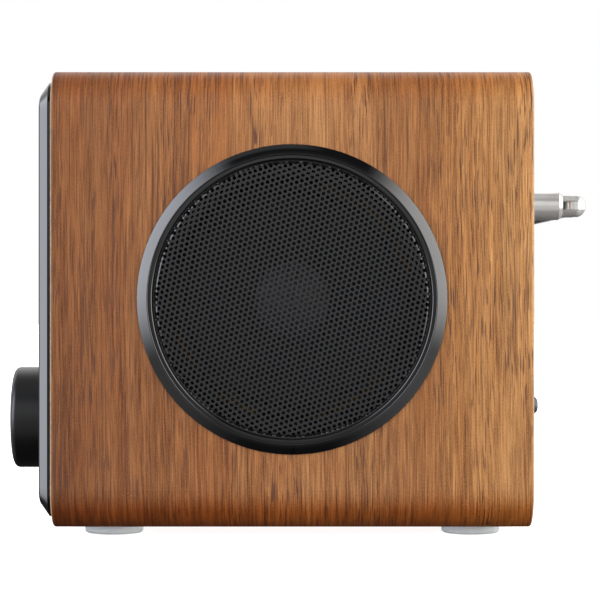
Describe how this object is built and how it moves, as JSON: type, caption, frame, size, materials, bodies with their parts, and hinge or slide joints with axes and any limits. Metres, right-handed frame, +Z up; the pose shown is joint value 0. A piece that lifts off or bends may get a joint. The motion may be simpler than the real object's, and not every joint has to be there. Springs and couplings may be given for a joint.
{
  "type": "tabletop radio",
  "caption": "Tabletop radio: veneered wooden sleeve with side-firing round speakers, gloss black bevelled front with knob, buttons and display, telescopic antenna at the rear.",
  "frame": {"origin": "on the tabletop under the middle of the cabinet, at the centre of the bounding box's base", "axes": "+X to the radio's right end, +Y to its rear, +Z up; the front faces -Y"},
  "size_m": [0.2638, 0.187, 0.146],
  "materials": {
    "wood_veneer": "satin lacquered walnut veneer",
    "soft_feet": "translucent pale silicone",
    "gloss_black": "high gloss",
    "display_glass": "smoked clear lens",
    "display": "dark panel",
    "moulded_black": "fine texture",
    "knob_black": "satin soft-touch",
    "button_black": "satin",
    "zinc_steel": "zinc plated",
    "black_screws": "black oxide",
    "circuit_board": "solder mask",
    "components": "moulded packages",
    "lead_sheath": "twin flex",
    "grille_paint": "satin black powder coat",
    "basket_paint": "black",
    "foam": "closed-cell foam",
    "ferrite": "matte ferrite",
    "cone_paper": "pressed pulp",
    "cap_paper": "coated",
    "surround_rubber": "matte",
    "spider_cloth": "resin-treated cloth",
    "copper": "enamelled wire",
    "batten_wood": "raw softwood",
    "aluminium_bare": "extruded",
    "satin_chrome": "satin",
    "nickel_brass": "nickel plated"
  },
  "bodies": {
    "radio_body": {"cabinet_sleeve": "wood_veneer", "feet": "soft_feet", "front_fascia": "gloss_black", "display_window": "display_glass", "display_module": "display", "front_subframe": "moulded_black", "small_screws": "zinc_steel", "encoder_body": "zinc_steel", "button_board": "circuit_board", "tact_switches": "moulded_black", "trim_ring_right": "gloss_black", "trim_ring_left": "gloss_black", "speaker_grille_right": "grille_paint", "speaker_grille_left": "grille_paint", "speaker_gaskets": "foam", "speaker_baskets": "basket_paint", "speaker_magnets": "ferrite", "speaker_top_plates": "zinc_steel", "speaker_yokes": "zinc_steel", "speaker_screws": "zinc_steel", "rear_panel": "moulded_black", "rear_battens": "batten_wood", "rear_panel_screws": "black_screws", "audio_jacks": "moulded_black", "power_inlet": "moulded_black", "board_standoffs": "moulded_black", "main_board": "circuit_board", "tuner_shield": "zinc_steel", "heat_sink": "aluminium_bare", "board_components": "components", "speaker_leads": "lead_sheath", "antenna_socket": "nickel_brass", "antenna_nut": "nickel_brass"},
    "encoder_rotor": {"encoder_rotor": "moulded_black"},
    "tuning_knob": {"tuning_knob": "knob_black", "encoder_shaft": "zinc_steel"},
    "cone_right": {"speaker_cone_right": "cone_paper", "dust_cap_right": "cap_paper", "surround_right": "surround_rubber", "spider_right": "spider_cloth", "voice_coil_right": "copper"},
    "cone_left": {"speaker_cone_left": "cone_paper", "dust_cap_left": "cap_paper", "surround_left": "surround_rubber", "spider_left": "spider_cloth", "voice_coil_left": "copper"},
    "antenna_swivel": {"antenna_swivel": "satin_chrome", "antenna_retaining_ring": "zinc_steel", "antenna_hinge_pin": "satin_chrome"},
    "antenna_base_tube": {"antenna_elbow": "satin_chrome", "antenna_section_1": "satin_chrome"},
    "antenna_second_tube": {"antenna_section_2": "satin_chrome"},
    "antenna_third_tube": {"antenna_section_3": "satin_chrome"},
    "antenna_end_rod": {"antenna_section_4": "satin_chrome", "antenna_tip": "satin_chrome"},
    "button_power": {"button_power": "button_black"},
    "button_source": {"button_source": "button_black"},
    "button_menu": {"button_menu": "button_black"},
    "button_back": {"button_back": "button_black"},
    "button_preset": {"button_preset": "button_black"}
  },
  "joints": [
    {"name": "knob_turn", "type": "hinge", "parent": "radio_body", "child": "encoder_rotor", "pos_m": [0.066, -0.07, 0.03485], "axis": [0, 1, 0], "continuous": true},
    {"name": "knob_push", "type": "slide", "parent": "encoder_rotor", "child": "tuning_knob", "axis": [0, 1, 0], "range_m": [0, 0.0005], "stiffness_N_per_m": 1500, "springref_m": -0.001},
    {"name": "button_power_press", "type": "slide", "parent": "radio_body", "child": "button_power", "axis": [0, 1, 0], "range_m": [0, 0.0005], "stiffness_N_per_m": 1200, "springref_m": -0.0008},
    {"name": "button_source_press", "type": "slide", "parent": "radio_body", "child": "button_source", "axis": [0, 1, 0], "range_m": [0, 0.0005], "stiffness_N_per_m": 1200, "springref_m": -0.0008},
    {"name": "button_menu_press", "type": "slide", "parent": "radio_body", "child": "button_menu", "axis": [0, 1, 0], "range_m": [0, 0.0005], "stiffness_N_per_m": 1200, "springref_m": -0.0008},
    {"name": "button_back_press", "type": "slide", "parent": "radio_body", "child": "button_back", "axis": [0, 1, 0], "range_m": [0, 0.0005], "stiffness_N_per_m": 1200, "springref_m": -0.0008},
    {"name": "button_preset_press", "type": "slide", "parent": "radio_body", "child": "button_preset", "axis": [0, 1, 0], "range_m": [0, 0.0005], "stiffness_N_per_m": 1200, "springref_m": -0.0008},
    {"name": "cone_travel_right", "type": "slide", "parent": "radio_body", "child": "cone_right", "axis": [1, 0, 0], "range_m": [-0.001, 0.001], "stiffness_N_per_m": 1200},
    {"name": "cone_travel_left", "type": "slide", "parent": "radio_body", "child": "cone_left", "axis": [-1, 0, 0], "range_m": [-0.001, 0.001], "stiffness_N_per_m": 1200},
    {"name": "antenna_turn", "type": "hinge", "parent": "radio_body", "child": "antenna_swivel", "pos_m": [0.108, 0.0765, 0.1043], "axis": [0, 1, 0], "range_deg": [0, 180]},
    {"name": "antenna_fold", "type": "hinge", "parent": "antenna_swivel", "child": "antenna_base_tube", "pos_m": [0.108, 0.09, 0.1043], "axis": [0, 0, -1], "range_deg": [0, 182.6]},
    {"name": "antenna_extend_1", "type": "slide", "parent": "antenna_base_tube", "child": "antenna_second_tube", "axis": [-0.999, -0.0454, 0], "range_m": [0, 0.135]},
    {"name": "antenna_extend_2", "type": "slide", "parent": "antenna_second_tube", "child": "antenna_third_tube", "axis": [-0.999, -0.0454, 0], "range_m": [0, 0.135]},
    {"name": "antenna_extend_3", "type": "slide", "parent": "antenna_third_tube", "child": "antenna_end_rod", "axis": [-0.999, -0.0454, 0], "range_m": [0, 0.135]}
  ]
}
